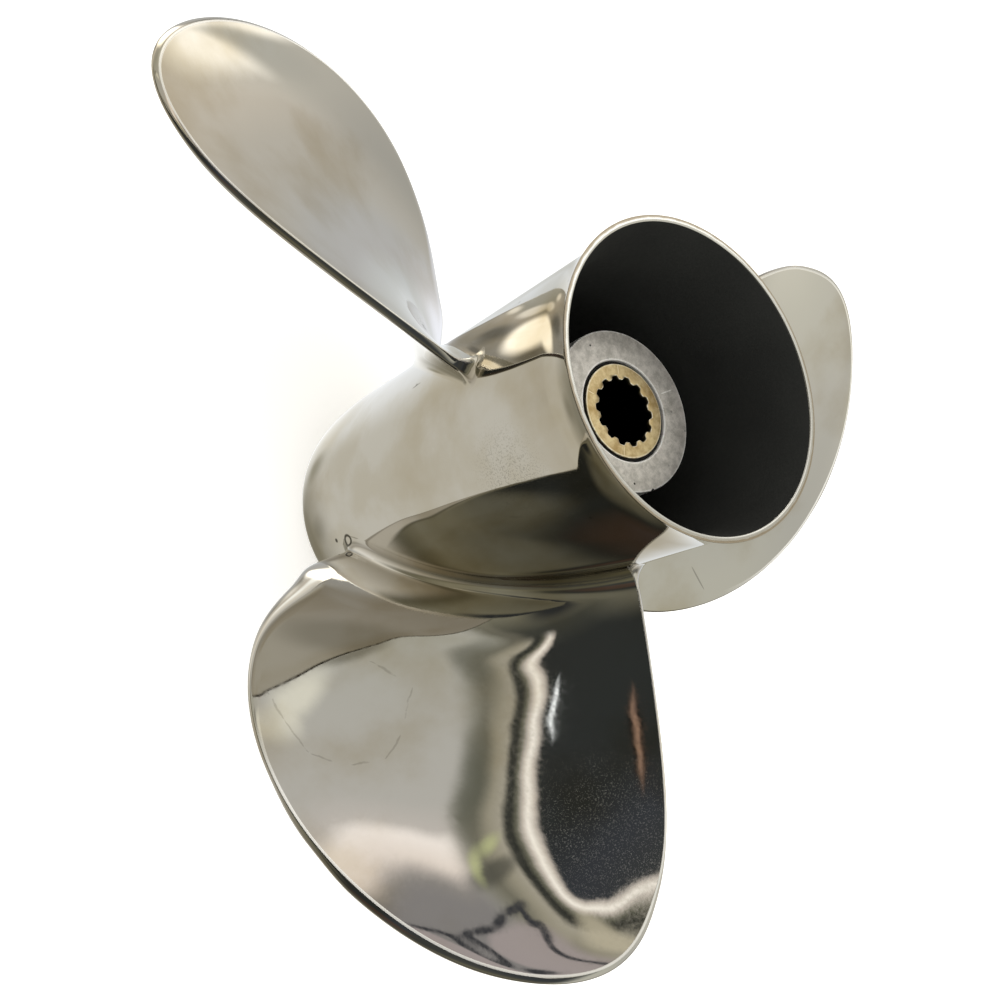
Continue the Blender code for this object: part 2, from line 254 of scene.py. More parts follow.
def mirror_polished_stainless():
    """Austenitic stainless, cast, belt ground and buffed by hand: a warm mirror that is slightly
    uneven, with soft buffing streaks, a stained film near the hub, pits, scratches, a pore and a
    water stain, a breath of dust, light scratches, and a painted highlight along the blades' face
    corners that makes them paler, duller and less metallic."""
    material, shader, place = start_material("mirror_polished_stainless")

    stain = node("MapRange SMOOTHSTEP", node("TexNoise", place, STAIN_SCALE, 6), 0.44, 0.68)
    tint = node("Mix RGBA", stain, "#CFCCC5", "#BCB4A2")
    film = node("MapRange SMOOTHSTEP", from_axis(place), *FILM_RADII)
    mottle = node("MapRange SMOOTHSTEP", node("TexNoise", place, MOTTLE_SCALE, 9), 0.38, 0.64)
    mottle = node("Math MULTIPLY", film, node("Math MULTIPLY", mottle, FILM_SHARE))
    tint = node("Mix RGBA", mottle, tint, "#B3A98F")
    speck = node("MapRange SMOOTHSTEP", node("TexNoise", place, SPECK_SCALE, 2), 0.52, 0.60)
    worn = node("Math MULTIPLY", near(place, WORN_PLACE, *WORN_RADII), speck)
    tint = node("Mix RGBA", node("Math MULTIPLY", worn, 0.3), tint, "#5F5B4E")
    pits = node("MapRange SMOOTHSTEP", node("TexVoronoi", place, PIT_SCALE), 0.035, 0.02)
    pits = node("Math MULTIPLY", pits, film)
    tint = node("Mix RGBA", node("Math MULTIPLY", pits, 0.6), tint, "#57523F")
    ring = [near(place, PORE_PLACE, *radii) for radii in (PORE_OUTSIDE, PORE_INSIDE)]
    spot = near(place, SPOT_PLACE, *SPOT_RADII)
    spot = node("Math MAXIMUM", node("Math MULTIPLY", *ring), spot)
    tint = node("Mix RGBA", spot, tint, GRIME)
    for start, end, width, strength in SCRATCHES:
        line = node("Math MULTIPLY", scratch(place, start, end, width), strength)
        tint = node("Mix RGBA", line, tint, GRIME)

    size, back = (STAIN_SWAY,) * 3, (-0.5 * STAIN_SWAY,) * 3
    sway = node("TexNoise", place, SWAY_SCALE, 6, output="Color")
    swayed = node("VectorMath ADD", place, node("VectorMath MULTIPLY_ADD", sway, size, back))
    for start, end in zip(STAIN_LINE, STAIN_LINE[1:]):
        line = node("Math MULTIPLY", scratch(swayed, start, end, 0.9), 0.28)
        tint = node("Mix RGBA", line, tint, "#5F594A")

    # Painted highlight along the blades' face corners, read from the mesh attribute, joined by real light
    # scratches and dust
    rubbed = node("Attribute rubbed", tree=material.node_tree, output="Fac")
    for start, end in LIGHT_SCRATCHES:
        line = node("Math MULTIPLY", scratch(place, start, end, 0.5), 0.4)
        rubbed = node("Math MAXIMUM", rubbed, line)
    dust = node("MapRange SMOOTHSTEP", node("TexNoise", place, SPECK_SCALE, 4), 0.5, 0.8)
    dust = node("Math MULTIPLY", near(place, DUST_PLACE, *DUST_RADII), dust)
    rubbed = node("Math MAXIMUM", rubbed, node("Math MULTIPLY", dust, 0.22))
    # FDFBF6 is the colour of that painted highlight, and of the pale scratches and dust
    tint = node("Mix RGBA", node("Math MULTIPLY", rubbed, 0.9), tint, "#FDFBF6")

    along = node("Mapping", place, Scale=(1.0, 1.0, BUFF_STRETCH))
    streak = node("TexNoise", along, BUFF_SCALE, 3)
    rough = node("Math MULTIPLY", streak, node("TexNoise", place, CLOUD_SCALE, 4))
    rough = node("MapRange LINEAR", rough, 0.12, 0.42, *ROUGHNESS_RANGE)
    uneven = node("Bump", Height=node("TexNoise", place, WAVE_SCALE, 2), Distance=WAVE_DEPTH)
    plug(
        shader,
        Base_Color=tint,
        Metallic=node("Math SUBTRACT", 1.0, node("Math MULTIPLY", rubbed, 0.6)),
        Roughness=node("Math ADD", rough, node("Math MULTIPLY", rubbed, 0.25)),
        Normal=node("Bump", Height=streak, Distance=BUFF_DEPTH, Normal=uneven),
    )
    return material


polished = mirror_polished_stainless()
barrel.data.materials.append(polished)


def blackened_casting():
    """Raw cast stainless coated with exhaust soot: nearly black, dull and grainy."""
    material, shader, place = start_material("sooty_cast_stainless")
    grain = node("TexNoise", place, 900.0, 4)
    plug(
        shader,
        Base_Color=node("Mix RGBA", node("TexNoise", place, 40.0, 4), "#1C1D1C", "#31322F"),
        Metallic=0.0,
        Roughness=node("MapRange LINEAR", grain, 0.0, 1.0, 0.62, 0.9),
        Specular_IOR_Level=0.3,
        Normal=node("Bump", Height=grain, Distance=0.0001, Strength=0.6),
    )
    return material


# A lathe leaves fine rings round the shaft axis. The rim's outer part is worn brown and dull, its
# inner part is painted bright as a highlight, and the border between them sways by so many metres
RINGS = {"wave_type": "RINGS", "rings_direction": "Z"}
RIM_WORN_RADII = (0.0382, 0.0386)
RIM_WORN_SWAY = 0.0006


def lathe_faced_stainless():
    """Stainless faced on a lathe with fine rings: its inner part is painted bright as a highlight,
    its outer part is worn dull and brownish.
    """
    material, shader, place = start_material("lathe_faced_stainless")
    cut = node("TexWave", place, 700.0, 2.0, 3.0, output="Fac", settings=RINGS)
    sway = node("Math SUBTRACT", node("TexNoise", place, 350.0, 5), 0.5)
    sway = node("Math MULTIPLY", sway, RIM_WORN_SWAY)
    outer = node("Math ADD", from_axis(place), sway)
    outer = node("MapRange SMOOTHSTEP", outer, *RIM_WORN_RADII)
    rough = node("Math ADD", node("Math MULTIPLY", outer, 0.16), 0.12)
    # DEDCD6 on the inner part is a painted highlight, #AEA28F on the outer part the worn brown steel
    plug(
        shader,
        Base_Color=node("Mix RGBA", outer, "#DEDCD6", "#AEA28F"),
        Metallic=1.0,
        Roughness=node("Math ADD", rough, node("Math MULTIPLY", cut, 0.08)),
        Normal=node("Bump", Height=cut, Distance=0.00001, Strength=0.5),
    )
    return material


# Slots of the barrel's materials, and what tells its inside from its outside
SOOTY_SLOT = 1
RIM_SLOT = 2
INWARD = -0.5
DOWNWARD = -0.99

barrel.data.materials.append(blackened_casting())
barrel.data.materials.append(lathe_faced_stainless())
for face in barrel.data.polygons:
    out = face.normal.x * face.center.x + face.normal.y * face.center.y
    if face.center.z > BARREL_LENGTH - RIM_INNER_ROUND * 0.6:
        face.material_index = RIM_SLOT
    elif out < INWARD * math.hypot(face.center.x, face.center.y) or face.normal.z < DOWNWARD:
        face.material_index = SOOTY_SLOT


# Blades: three alike, cast with the barrel, ground and buffed all over. The driving face is part
# of a right-hand screw with a shallow hollow, the edges are left as a narrow flat band with eased
# corners, and a fillet runs round each root.

BLADE_COUNT = 3
FIRST_BLADE_ANGLE = 90.0
BLADE_OUTLINE = (
    (0.0371, -0.0311, 0.0272),
    (0.0518, -0.0449, 0.0295),
    (0.0603, -0.0499, 0.0316),
    (0.0761, -0.0578, 0.0349),
    (0.0949, -0.0592, 0.0440),
    (0.1111, -0.0490, 0.0561),
    (0.1233, -0.0281, 0.0689),
    (0.1305, -0.0021, 0.0800),
    (0.1290, 0.0229, 0.0891),
    (0.1161, 0.0328, 0.0922),
    (0.0936, 0.0331, 0.0942),
    (0.0539, 0.0232, 0.0943),
    (0.0371, 0.0180, 0.0936),
)
ROOT_THICKNESS = 0.0058
TIP_THICKNESS = 0.0032
# Edge sizes in mm at shares of the way round the blade, from the leading root to the trailing one:
# its thickness, how far it is rounded outwards, and the depth and width of its eased face corner
EDGE_STATIONS = (0.0, 0.12, 0.24, 0.33, 0.38, 0.42, 0.50, 0.56, 0.62, 0.70, 0.87, 1.0)
EDGE_THICKNESS = (4.2, 3.2, 1.9, 1.8, 2.6, 3.2, 3.0, 2.4, 2.1, 2.3, 2.3, 2.6)
EDGE_BULGE = (0.6, 0.5, 0.3, 0.3, 0.9, 1.5, 1.5, 1.4, 1.1, 0.25, 0.1, 0.1)
FACE_HOLLOW = 0.012
FLAT_RADII = (0.090, 0.110)
FLAT_SHARE = 0.45
FULL_CHORD = 0.030
CORNER_DEPTH = (2.0, 1.7, 0.7, 0.3, 0.3, 0.3, 0.3, 0.3, 0.3, 0.35, 0.35, 0.35)
CORNER_WIDTH = (10.0, 7.5, 2.8, 0.7, 0.45, 0.45, 0.45, 0.45, 0.45, 0.45, 0.40, 0.40)
BACK_CORNER = 0.0008
# Where the face's corner carries a painted highlight along the edge, and how much
HIGHLIGHT_POINTS = 5
HIGHLIGHT_SHARES = ((0.0, 0.28, 0.36, 0.70, 1.0), (0.0, 0.0, 0.9, 0.5, 0.2))
BELLY_POWER = 1.6
BELLY_LEAD = 0.6
TURN_RADIUS = 0.098
FILLET_RADIUS = 0.0100
FACE_FILLETS = (0.0035, 0.0036, 0.0062)
BACK_FILLET = 0.0020
LEADING_FILLET = 0.0040
TRAILING_FILLET = 0.0045
FILLET_STEPS = 18
SPAN_ROWS = 54
TIP_STATIONS = 96
RAY_POINTS = 40
CORNER_POINTS = 10
BAND_POINTS = 9
PROBE_POINTS = 400
# Rays have more points near the edge, and the blade is thicker near its root
RAY_SPREAD_POWER = 1.7
TAPER_POWER = 0.8
# Rows of the root that lie under the barrel's surface, and gaps that keep sums off the very edge
BURIED_ROWS = (-0.001, -0.00003)
SHORT_OF_TIP = 2e-6
JUST_INSIDE = 0.0005


def smooth_path(points, count):
    """A natural cubic spline through the points, read at evenly spaced places."""
    knots = np.array(points)
    last = len(knots) - 1
    system = np.eye(last + 1)
    right = np.zeros_like(knots)
    for i in range(1, last):
        system[i, i - 1 : i + 2] = (1.0, 4.0, 1.0)
        right[i] = 6 * (knots[i - 1] - 2 * knots[i] + knots[i + 1])
    bend = np.linalg.solve(system, right)
    places = np.linspace(0, last, count)
    index = np.minimum(places.astype(int), last - 1)
    b = (places - index)[:, None]
    a = 1 - b
    curved = ((a**3 - a) * bend[index] + (b**3 - b) * bend[index + 1]) / 6
    return a * knots[index] + b * knots[index + 1] + curved


outline = smooth_path(BLADE_OUTLINE, 6001)
tip_index = int(outline[:, 0].argmax())
tip_radius = outline[tip_index, 0]
leading_edge = outline[: tip_index + 1]
trailing_edge = outline[tip_index:][::-1]


def smooth_steps(place, stations, values):
    """Values between stations, eased so that no step shows."""
    place = np.clip(place, stations[0], stations[-1])
    index = np.clip(np.searchsorted(stations, place, side="right") - 1, 0, len(stations) - 2)
    low, high = np.take(stations, index), np.take(stations, index + 1)
    share = (place - low) / (high - low)
    share = share * share * (3 - 2 * share)
    return np.take(values, index) * (1 - share) + np.take(values, index + 1) * share


def fullness(length):
    """Nearly 1 where the blade is wide, falling to 0 where the chord runs out at the tip."""
    return 1 - np.exp(-((length / FULL_CHORD) ** 2))


def driving_face(arc, radius):
    """Points of the driving face in space, from the arc along the chord and the radius.

    Also gives each point's share of the way along its chord, and the chord's length.
    """
    radius = np.minimum(radius, tip_radius - SHORT_OF_TIP)
    ends = []
    for edge in (leading_edge, trailing_edge):
        ends.append([np.interp(radius, edge[:, 0], edge[:, k]) for k in (1, 2)])
    (lead_arc, lead_height), (trail_arc, trail_height) = ends
    chord_arc = trail_arc - lead_arc
    chord_height = trail_height - lead_height
    length = np.hypot(chord_arc, chord_height)
    share = (arc - lead_arc) / chord_arc
    belly = 4 * share * (1 - share)
    # The hollow runs out towards the outer part of the leading edge and towards the tip
    flat_share = smooth_steps(radius, FLAT_RADII, (0, 1))
    flat_share = flat_share * (1 - smooth_steps(share, (0, FLAT_SHARE), (0, 1)))
    hollow = np.clip(belly, 0, 1) * FACE_HOLLOW * (1 - flat_share) * fullness(length)
    arc_on = lead_arc + chord_arc * share + chord_height * hollow
    height = lead_height + chord_height * share - chord_arc * hollow
    turn = arc_on / radius
    points = np.stack([radius * np.cos(turn), radius * np.sin(turn), height], axis=-1)
    return points, share, length


def unit(vectors):
    return vectors / np.linalg.norm(vectors, axis=-1, keepdims=True)


def face_normal(arc, radius):
    """Unit normals of the driving face, pointing aft."""
    step = 2e-5
    here = driving_face(arc, radius)[0]
    along = driving_face(arc + step, radius)[0] - driving_face(arc - step, radius)[0]
    outward = here - driving_face(arc, np.minimum(radius, tip_radius - SHORT_OF_TIP) - step)[0]
    normal = unit(np.cross(outward, along))
    return normal * np.sign(normal[..., 2:3])


def blade_rays():
    """Where each ray of the blade starts on the outline and ends inside it: arcs and radii.

    Rays run from the leading edge's root round the tip to the trailing edge's root. Below the
    turn radius they run along one radius to the chord's middle, and round the tip they all run
    to the last such middle. Also gives how far the rows next to the barrel lie over it.
    """
    turns = np.linspace(0, math.pi / 2, FILLET_STEPS)
    lifts = [*BURIED_ROWS, *(FILLET_RADIUS * (1 - math.cos(turn)) for turn in turns)]
    radii = np.array([BARREL_MID_RADIUS + lift for lift in lifts])
    span = np.linspace(radii[-1], TURN_RADIUS, SPAN_ROWS)[1:]
    radii = np.append(radii, span)
    lead = np.interp(radii, leading_edge[:, 0], leading_edge[:, 1])
    trail = np.interp(radii, trailing_edge[:, 0], trailing_edge[:, 1])
    middle = (lead + trail) / 2
    first = int(np.searchsorted(leading_edge[:, 0], TURN_RADIUS))
    last = len(outline) - int(np.searchsorted(trailing_edge[:, 0], TURN_RADIUS))
    round_tip = outline[first:last]
    steps = np.linalg.norm(np.diff(round_tip, axis=0), axis=1)
    run = np.append(0, np.cumsum(steps))
    places = np.linspace(0, run[-1], TIP_STATIONS + 2)[1:-1]
    tip_arc = np.interp(places, run, round_tip[:, 1])
    tip_radii = np.interp(places, run, round_tip[:, 0])
    start_arc = np.concatenate([lead, tip_arc, trail[::-1]])
    start_radius = np.concatenate([radii, tip_radii, radii[::-1]])
    end_arc = np.concatenate([middle, np.full(TIP_STATIONS, middle[-1]), middle[::-1]])
    end_radius = np.concatenate([radii, np.full(TIP_STATIONS, TURN_RADIUS), radii[::-1]])
    return start_arc, start_radius, end_arc, end_radius, lifts


def blade_mesh_points():
    """The blade as a grid of points: one row per ray, from the middle of the face over the edge to
    the middle of the back. Also gives how much of the painted corner highlight each point carries."""
    start_arc, start_radius, end_arc, end_radius, lifts = blade_rays()
    count = len(start_arc)
    run = np.linspace(0, 1, count)

    def ray_points(share):
        arc = start_arc[:, None] + (end_arc - start_arc)[:, None] * share
        radius = start_radius[:, None] + (end_radius - start_radius)[:, None] * share
        return arc, radius

    # How far each place on a ray is from the edge, square to the edge
    probe = np.linspace(0, 1, PROBE_POINTS)[None, :] ** 2
    arc, radius = ray_points(np.repeat(probe, count, axis=0))
    points = driving_face(arc, radius)[0]
    edge_points = points[:, 0]
    tangent = unit(np.gradient(edge_points, axis=0))
    away = points - edge_points[:, None]
    along = np.einsum("ijk,ik->ij", away, tangent)
    distance = np.linalg.norm(away - along[..., None] * tangent[:, None], axis=-1)
    normal = face_normal(*ray_points(np.full((count, 1), JUST_INSIDE)))[:, 0]
    inward = unit(np.cross(normal, tangent))
    inward *= np.sign(np.einsum("ij,ij->i", inward, away[:, PROBE_POINTS // 10]))[:, None]

    edge = smooth_steps(run, EDGE_STATIONS, EDGE_THICKNESS) / 1000
    bulge = smooth_steps(run, EDGE_STATIONS, EDGE_BULGE) / 1000
    corner = smooth_steps(run, EDGE_STATIONS, CORNER_DEPTH) / 1000
    corner_width = smooth_steps(run, EDGE_STATIONS, CORNER_WIDTH) / 1000
    back_corner = np.full(count, BACK_CORNER)

    def share_at(depth):
        return np.array([np.interp(d, row, probe[0]) for d, row in zip(depth, distance)])

    def ray_shares(nearest):
        spread = np.linspace(0, 1, RAY_POINTS) ** RAY_SPREAD_POWER
        return nearest[:, None] + (1 - nearest)[:, None] * spread

    # The two edges differ in thickness, so each half eases to their mean at the middle line
    both = (edge + edge[::-1]) / 2
    root_rows = (count - TIP_STATIONS) // 2
    both[root_rows : count - root_rows] = both[root_rows - 1]

    def thickness(inward_share, radius, share, length):
        rim = edge[:, None] + (both - edge)[:, None] * inward_share**2 * (3 - 2 * inward_share)
        forward = np.clip(share, 0, 1) ** BELLY_LEAD
        belly = 4 * forward * (1 - forward)
        out = np.clip((radius - BARREL_MID_RADIUS) / (tip_radius - BARREL_MID_RADIUS), 0, 1)
        middle = ROOT_THICKNESS + (TIP_THICKNESS - ROOT_THICKNESS) * out**TAPER_POWER
        return rim + (middle - rim) * np.clip(belly, 0, 1) ** BELLY_POWER * fullness(length)

    columns = []
    face_arc, face_radius = ray_points(ray_shares(share_at(corner_width)))
    face = driving_face(face_arc, face_radius)[0]
    columns += [face[:, k] for k in range(RAY_POINTS - 1, -1, -1)]
    back_shares = ray_shares(share_at(back_corner))
    back_arc, back_radius = ray_points(back_shares)
    face_over, share, length = driving_face(back_arc, back_radius)
    depth = thickness(back_shares, back_radius, share, length)
    back = face_over - face_normal(back_arc, back_radius) * depth[..., None]
    # Each corner starts where its own face ends, so that the rows stay even round the tip
    to_face = (face[:, 0] - edge_points) / corner_width[:, None]
    to_back = (face_over[:, 0] - edge_points) / back_corner[:, None]
    hem = []
    for turn in np.linspace(0, math.pi / 2, CORNER_POINTS)[1:]:
        x = corner_width * (1 - math.sin(turn))
        hem.append((to_face * x[:, None], -corner * (1 - math.cos(turn))))
    for share in np.linspace(0, 1, BAND_POINTS + 2)[1:-1]:
        hem.append((0.0, -corner - (edge - corner - back_corner) * share))
    for turn in np.linspace(0, math.pi / 2, CORNER_POINTS)[:-1]:
        x = back_corner * (1 - math.cos(turn))
        hem.append((to_back * x[:, None], back_corner - edge - back_corner * math.sin(turn)))
    for sideways, down in hem:
        out = bulge * np.sin(math.pi * down / -edge)
        columns.append(edge_points + sideways + normal * down[:, None] - inward * out[:, None])
    columns += [back[:, k] for k in range(RAY_POINTS)]
    grid = np.stack(columns, axis=1)
    # The face corner's painted highlight, by share of the way round the blade
    rubbed = np.zeros(grid.shape[:2])
    rubbed[:, RAY_POINTS - 1 : RAY_POINTS + HIGHLIGHT_POINTS] = smooth_steps(run, *HIGHLIGHT_SHARES)[:, None]
    return add_fillet(grid, start_radius, lifts), rubbed


def add_fillet(grid, start_radius, lifts):
    """Sets the rows next to the barrel on it, and spreads them outwards as the root fillet."""
    leading_root = np.array(BLADE_OUTLINE[0][1:])
    trailing_root = np.array(BLADE_OUTLINE[-1][1:])
    chord = unit(trailing_root - leading_root)
    aft = np.array([-chord[1], chord[0]])
    for row, lift in enumerate(lifts):
        mate = len(grid) - 1 - row
        loop = np.vstack([grid[mate], grid[row][::-1]])
        radius = start_radius[row]
        around = np.hypot(loop[:, 0], loop[:, 1])
        turn = np.arctan2(loop[:, 1], loop[:, 0])
        flat = np.column_stack([turn * radius, loop[:, 2]])
        # Both ends of each half lie on the middle line, so they count once
        ahead = np.roll(flat, -1, axis=0)
        behind = np.roll(flat, 1, axis=0)
        half = len(grid[row])
        ahead[half - 1] = flat[half + 1]
        behind[half] = flat[half - 2]
        ahead[-1] = flat[1]
        behind[0] = flat[-2]
        tangent = unit(ahead - behind)
        outward = np.column_stack([tangent[:, 1], -tangent[:, 0]])
        centre = flat.mean(axis=0)
        if np.sum(np.einsum("ij,ij->i", outward, flat - centre)) < 0:
            outward = -outward
        on_face = np.clip(outward @ aft, 0, 1) ** 2
        on_back = np.clip(-outward @ aft, 0, 1) ** 2
        ahead_end = np.clip(-outward @ chord, 0, 1) ** 2
        behind_end = np.clip(outward @ chord, 0, 1) ** 2
        along_chord = (flat - leading_root) @ chord / np.linalg.norm(trailing_root - leading_root)
        face_fillet = smooth_steps(np.clip(along_chord, 0, 1), (0.0, 0.5, 1.0), FACE_FILLETS)
        fillet = face_fillet * on_face + BACK_FILLET * on_back
        fillet = fillet + LEADING_FILLET * ahead_end + TRAILING_FILLET * behind_end
        short = np.clip(fillet - max(lift, 0.0), 0, None)
        flare = fillet - np.sqrt(fillet**2 - short**2)
        flat = flat + outward * flare[:, None]
        seat = smooth_steps(max(lift, 0.0), (0.0, FILLET_RADIUS), (1.0, 0.0))
        follow = barrel_outer_radius(flat[:, 1]) - BARREL_MID_RADIUS
        radial = (radius + follow) * seat + around * (1 - seat)
        turn = flat[:, 0] / radius
        placed = np.column_stack([radial * np.cos(turn), radial * np.sin(turn), flat[:, 1]])
        grid[mate] = placed[:half]
        grid[row] = placed[half:][::-1]
    return grid


def make_blade(name, points, rubbed):
    """A flat grid is wrapped round the blade's edge like a hem and sewn shut along the middle line.

    How much painted highlight each point's corner carries is kept as an attribute for the material.
    """
    rows, columns = points.shape[:2]
    bpy.ops.object.select_all(action="DESELECT")
    bpy.ops.mesh.primitive_grid_add(x_subdivisions=columns - 1, y_subdivisions=rows - 1, size=1)
    obj = bpy.context.active_object
    obj.name = name
    obj.data.vertices.foreach_set("co", points.reshape(-1).astype(np.float32))
    share = obj.data.attributes.new("rubbed", "FLOAT", "POINT")
    share.data.foreach_set("value", rubbed.reshape(-1).astype(np.float32))
    obj.data.update()
    bpy.ops.object.mode_set(mode="EDIT")
    bpy.ops.mesh.select_all(action="SELECT")
    bpy.ops.mesh.remove_doubles(threshold=2e-6)
    bpy.ops.mesh.select_all(action="DESELECT")
    bpy.ops.mesh.select_non_manifold(extend=False, use_wire=False, use_multi_face=False)
    bpy.ops.mesh.edge_face_add()
    bpy.ops.mesh.select_all(action="SELECT")
    bpy.ops.mesh.normals_make_consistent(inside=False)
    bpy.ops.object.mode_set(mode="OBJECT")
    return obj


blade_points, blade_corner_highlight = blade_mesh_points()
for index in range(BLADE_COUNT):
    turn = Matrix.Rotation(math.radians(FIRST_BLADE_ANGLE + index * 360 / BLADE_COUNT), 3, "Z")
    placed = blade_points @ np.array(turn).T
    blade = make_blade(f"polished_blade_{index + 1}", placed, blade_corner_highlight)
    bpy.ops.object.shade_smooth_by_angle(angle=math.radians(50))
    blade.data.materials.append(polished)
    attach(blade, "root")
    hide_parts(f"blade_{index + 1}")


# Inner hub: the heavy tube in the middle of the stainless casting that carries the drive. It is
# faced flat at its aft end and otherwise left as blasted, with a lip that holds the bushing.

HUB_RADIUS = 0.0206
HUB_FRONT = 0.004
HUB_FACE = 0.1065
HUB_EDGE = 0.00035
HUB_LIP_BORE = 0.0129
HUB_LIP_LENGTH = 0.005
HUB_BORE = 0.0170
HUB_STEPS = 192

hub = turned(
    "inner_hub_tube",
    [
        (HUB_RADIUS, HUB_FRONT + HUB_EDGE),
        (HUB_RADIUS, HUB_FACE - HUB_EDGE),
        (HUB_RADIUS - HUB_EDGE * 0.3, HUB_FACE - HUB_EDGE * 0.3),
        (HUB_RADIUS - HUB_EDGE, HUB_FACE),
        (HUB_LIP_BORE + HUB_EDGE * 0.5, HUB_FACE),
        (HUB_LIP_BORE, HUB_FACE - HUB_EDGE * 0.5),
        (HUB_LIP_BORE, HUB_FACE - HUB_LIP_LENGTH),
        (HUB_BORE, HUB_FACE - HUB_LIP_LENGTH),
        (HUB_BORE, HUB_FRONT),
        (HUB_RADIUS - HUB_EDGE, HUB_FRONT),
    ],
    HUB_STEPS,
)
bpy.ops.object.shade_smooth_by_angle(angle=math.radians(30))
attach(hub, "root")
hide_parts("inner_hub")


# Marks on the hub's face: pits and a nick with their radius in mm, and a seam that catches the light
HUB_PITS = (((5.1, 17.1, 106.5), 0.35), ((-12.9, -13.1, 106.5), 0.4), ((-9.7, -18.2, 106.5), 0.7))
HUB_SEAM = ((13.2, -5.1, 106.5), (17.2, -6.9, 106.5))
# Between which distances from the face's two edges the painted highlight fades
HUB_HIGHLIGHT_BAND = (0.0006, 0.0002)


def blasted_cast_stainless():
    """Cast stainless after bead blasting and a light facing cut: even satin silver with a painted
    highlight along both edges of its face and on a seam, a few pits and a nick."""
    material, shader, place = start_material("blasted_cast_stainless")
    cloud = node("TexNoise", place, 420.0, 8, 0.75)
    tint = node("Mix RGBA", node("MapRange SMOOTHSTEP", cloud, 0.3, 0.7), "#ADA9A0", "#E4DFD7")
    radius = from_axis(place)
    rim = node("MapRange SMOOTHSTEP", radius, *(HUB_RADIUS - width for width in HUB_HIGHLIGHT_BAND))
    lip = node("MapRange SMOOTHSTEP", radius, *(HUB_LIP_BORE + width for width in HUB_HIGHLIGHT_BAND))
    # Painted highlight along the face's outer edge, its bore edge and the seam
    rubbed = node("Math MAXIMUM", node("Math MAXIMUM", rim, lip), scratch(place, *HUB_SEAM, 0.5))
    rubbed = node("Math MULTIPLY", rubbed, node("MapRange SMOOTHSTEP", cloud, 0.30, 0.55))
    tint = node("Mix RGBA", rubbed, tint, "#FFFDF8")
    pits = node("MapRange SMOOTHSTEP", node("TexVoronoi", place, 230.0), 0.09, 0.05)
    tint = node("Mix RGBA", node("Math MULTIPLY", pits, 0.5), tint, "#4A4741")
    for centre, size in HUB_PITS:
        tint = node("Mix RGBA", near(place, centre, size / 1000, size / 2000), tint, "#23211E")
    grain = node("TexNoise", place, 1500.0, 3)
    plug(
        shader,
        Base_Color=tint,
        Metallic=0.6,
        Roughness=node("MapRange LINEAR", cloud, 0.0, 1.0, 0.32, 0.50),
        Normal=node("Bump", Height=grain, Distance=0.00004, Strength=0.5),
    )
    return material


blasted = blasted_cast_stainless()
hub.data.materials.append(blasted)


# Ribs: three webs of the same stainless casting that hold the inner hub in the barrel, one under
# each blade, with the exhaust passages between them. They stay as cast and blasted.

RIB_THICKNESS = 0.006
RIB_FRONT = 0.012
RIB_AFT = 0.088
RIB_EDGE = 0.0012
RIB_INNER_END = 0.0202
RIB_OUTER_END = 0.0350

for index in range(BLADE_COUNT):
    bpy.ops.object.select_all(action="DESELECT")
    middle = ((RIB_INNER_END + RIB_OUTER_END) / 2, 0, (RIB_FRONT + RIB_AFT) / 2)
    size = (RIB_OUTER_END - RIB_INNER_END, RIB_THICKNESS, RIB_AFT - RIB_FRONT)
    bpy.ops.mesh.primitive_cube_add(size=1, location=middle, scale=size)
    rib = bpy.context.active_object
    rib.name = f"rib_web_{index + 1}"
    bpy.ops.object.transform_apply(location=True, rotation=True, scale=True)
    bpy.ops.object.mode_set(mode="EDIT")
    bpy.ops.mesh.select_all(action="SELECT")
    bpy.ops.mesh.bevel(offset=RIB_EDGE, segments=3, affect="EDGES")
    bpy.ops.object.mode_set(mode="OBJECT")
    turn = math.radians(FIRST_BLADE_ANGLE + index * 360 / BLADE_COUNT)
    rib.data.transform(Matrix.Rotation(turn, 4, "Z"))
    bpy.ops.object.shade_smooth_by_angle(angle=math.radians(30))
    rib.data.materials.append(blasted)
    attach(rib, "root")
    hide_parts(f"hub_rib_{index + 1}")


# Rubber bushing: moulded on the sleeve and pressed into the inner hub, where it slips before the
# gears break. Only a thin black ring of it shows beside the brass.

SLEEVE_RADIUS = 0.0120
BUSHING_FRONT = 0.010
BUSHING_NECK_RADIUS = 0.01285
BUSHING_NECK_DROP = 0.0004
BUSHING_FIT = 0.0001

shoulder = HUB_FACE - HUB_LIP_LENGTH - BUSHING_FIT
bushing = turned(
    "rubber_bushing_ring",
    [
        (HUB_BORE - BUSHING_FIT, BUSHING_FRONT),
        (HUB_BORE - BUSHING_FIT, shoulder),
        (BUSHING_NECK_RADIUS, shoulder),
        (BUSHING_NECK_RADIUS, HUB_FACE - BUSHING_NECK_DROP * 2),
        ((BUSHING_NECK_RADIUS + SLEEVE_RADIUS) / 2, HUB_FACE - BUSHING_NECK_DROP),
        (SLEEVE_RADIUS + BUSHING_FIT, HUB_FACE - BUSHING_NECK_DROP * 1.5),
        (SLEEVE_RADIUS + BUSHING_FIT, BUSHING_FRONT),
    ],
    HUB_STEPS,
)
bpy.ops.object.shade_smooth_by_angle(angle=math.radians(40))
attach(bushing, "root")
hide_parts("rubber_bushing")


def moulded_rubber():
    """Moulded natural rubber: black, dull, with a very fine grain from the mould."""
    material, shader, place = start_material("moulded_rubber")
    grain = node("TexNoise", place, 1200.0, 3)
    plug(
        shader,
        Base_Color=node("Mix RGBA", grain, "#0B0B0B", "#191817"),
        Roughness=node("MapRange LINEAR", grain, 0.0, 1.0, 0.6, 0.85),
        Normal=node("Bump", Height=grain, Distance=0.00005, Strength=0.4),
    )
    return material


bushing.data.materials.append(moulded_rubber())


# Splined sleeve: turned from brass bar and broached with fourteen splines for the propeller shaft.
# It is bonded into the rubber bushing, and its edges carry a painted highlight.

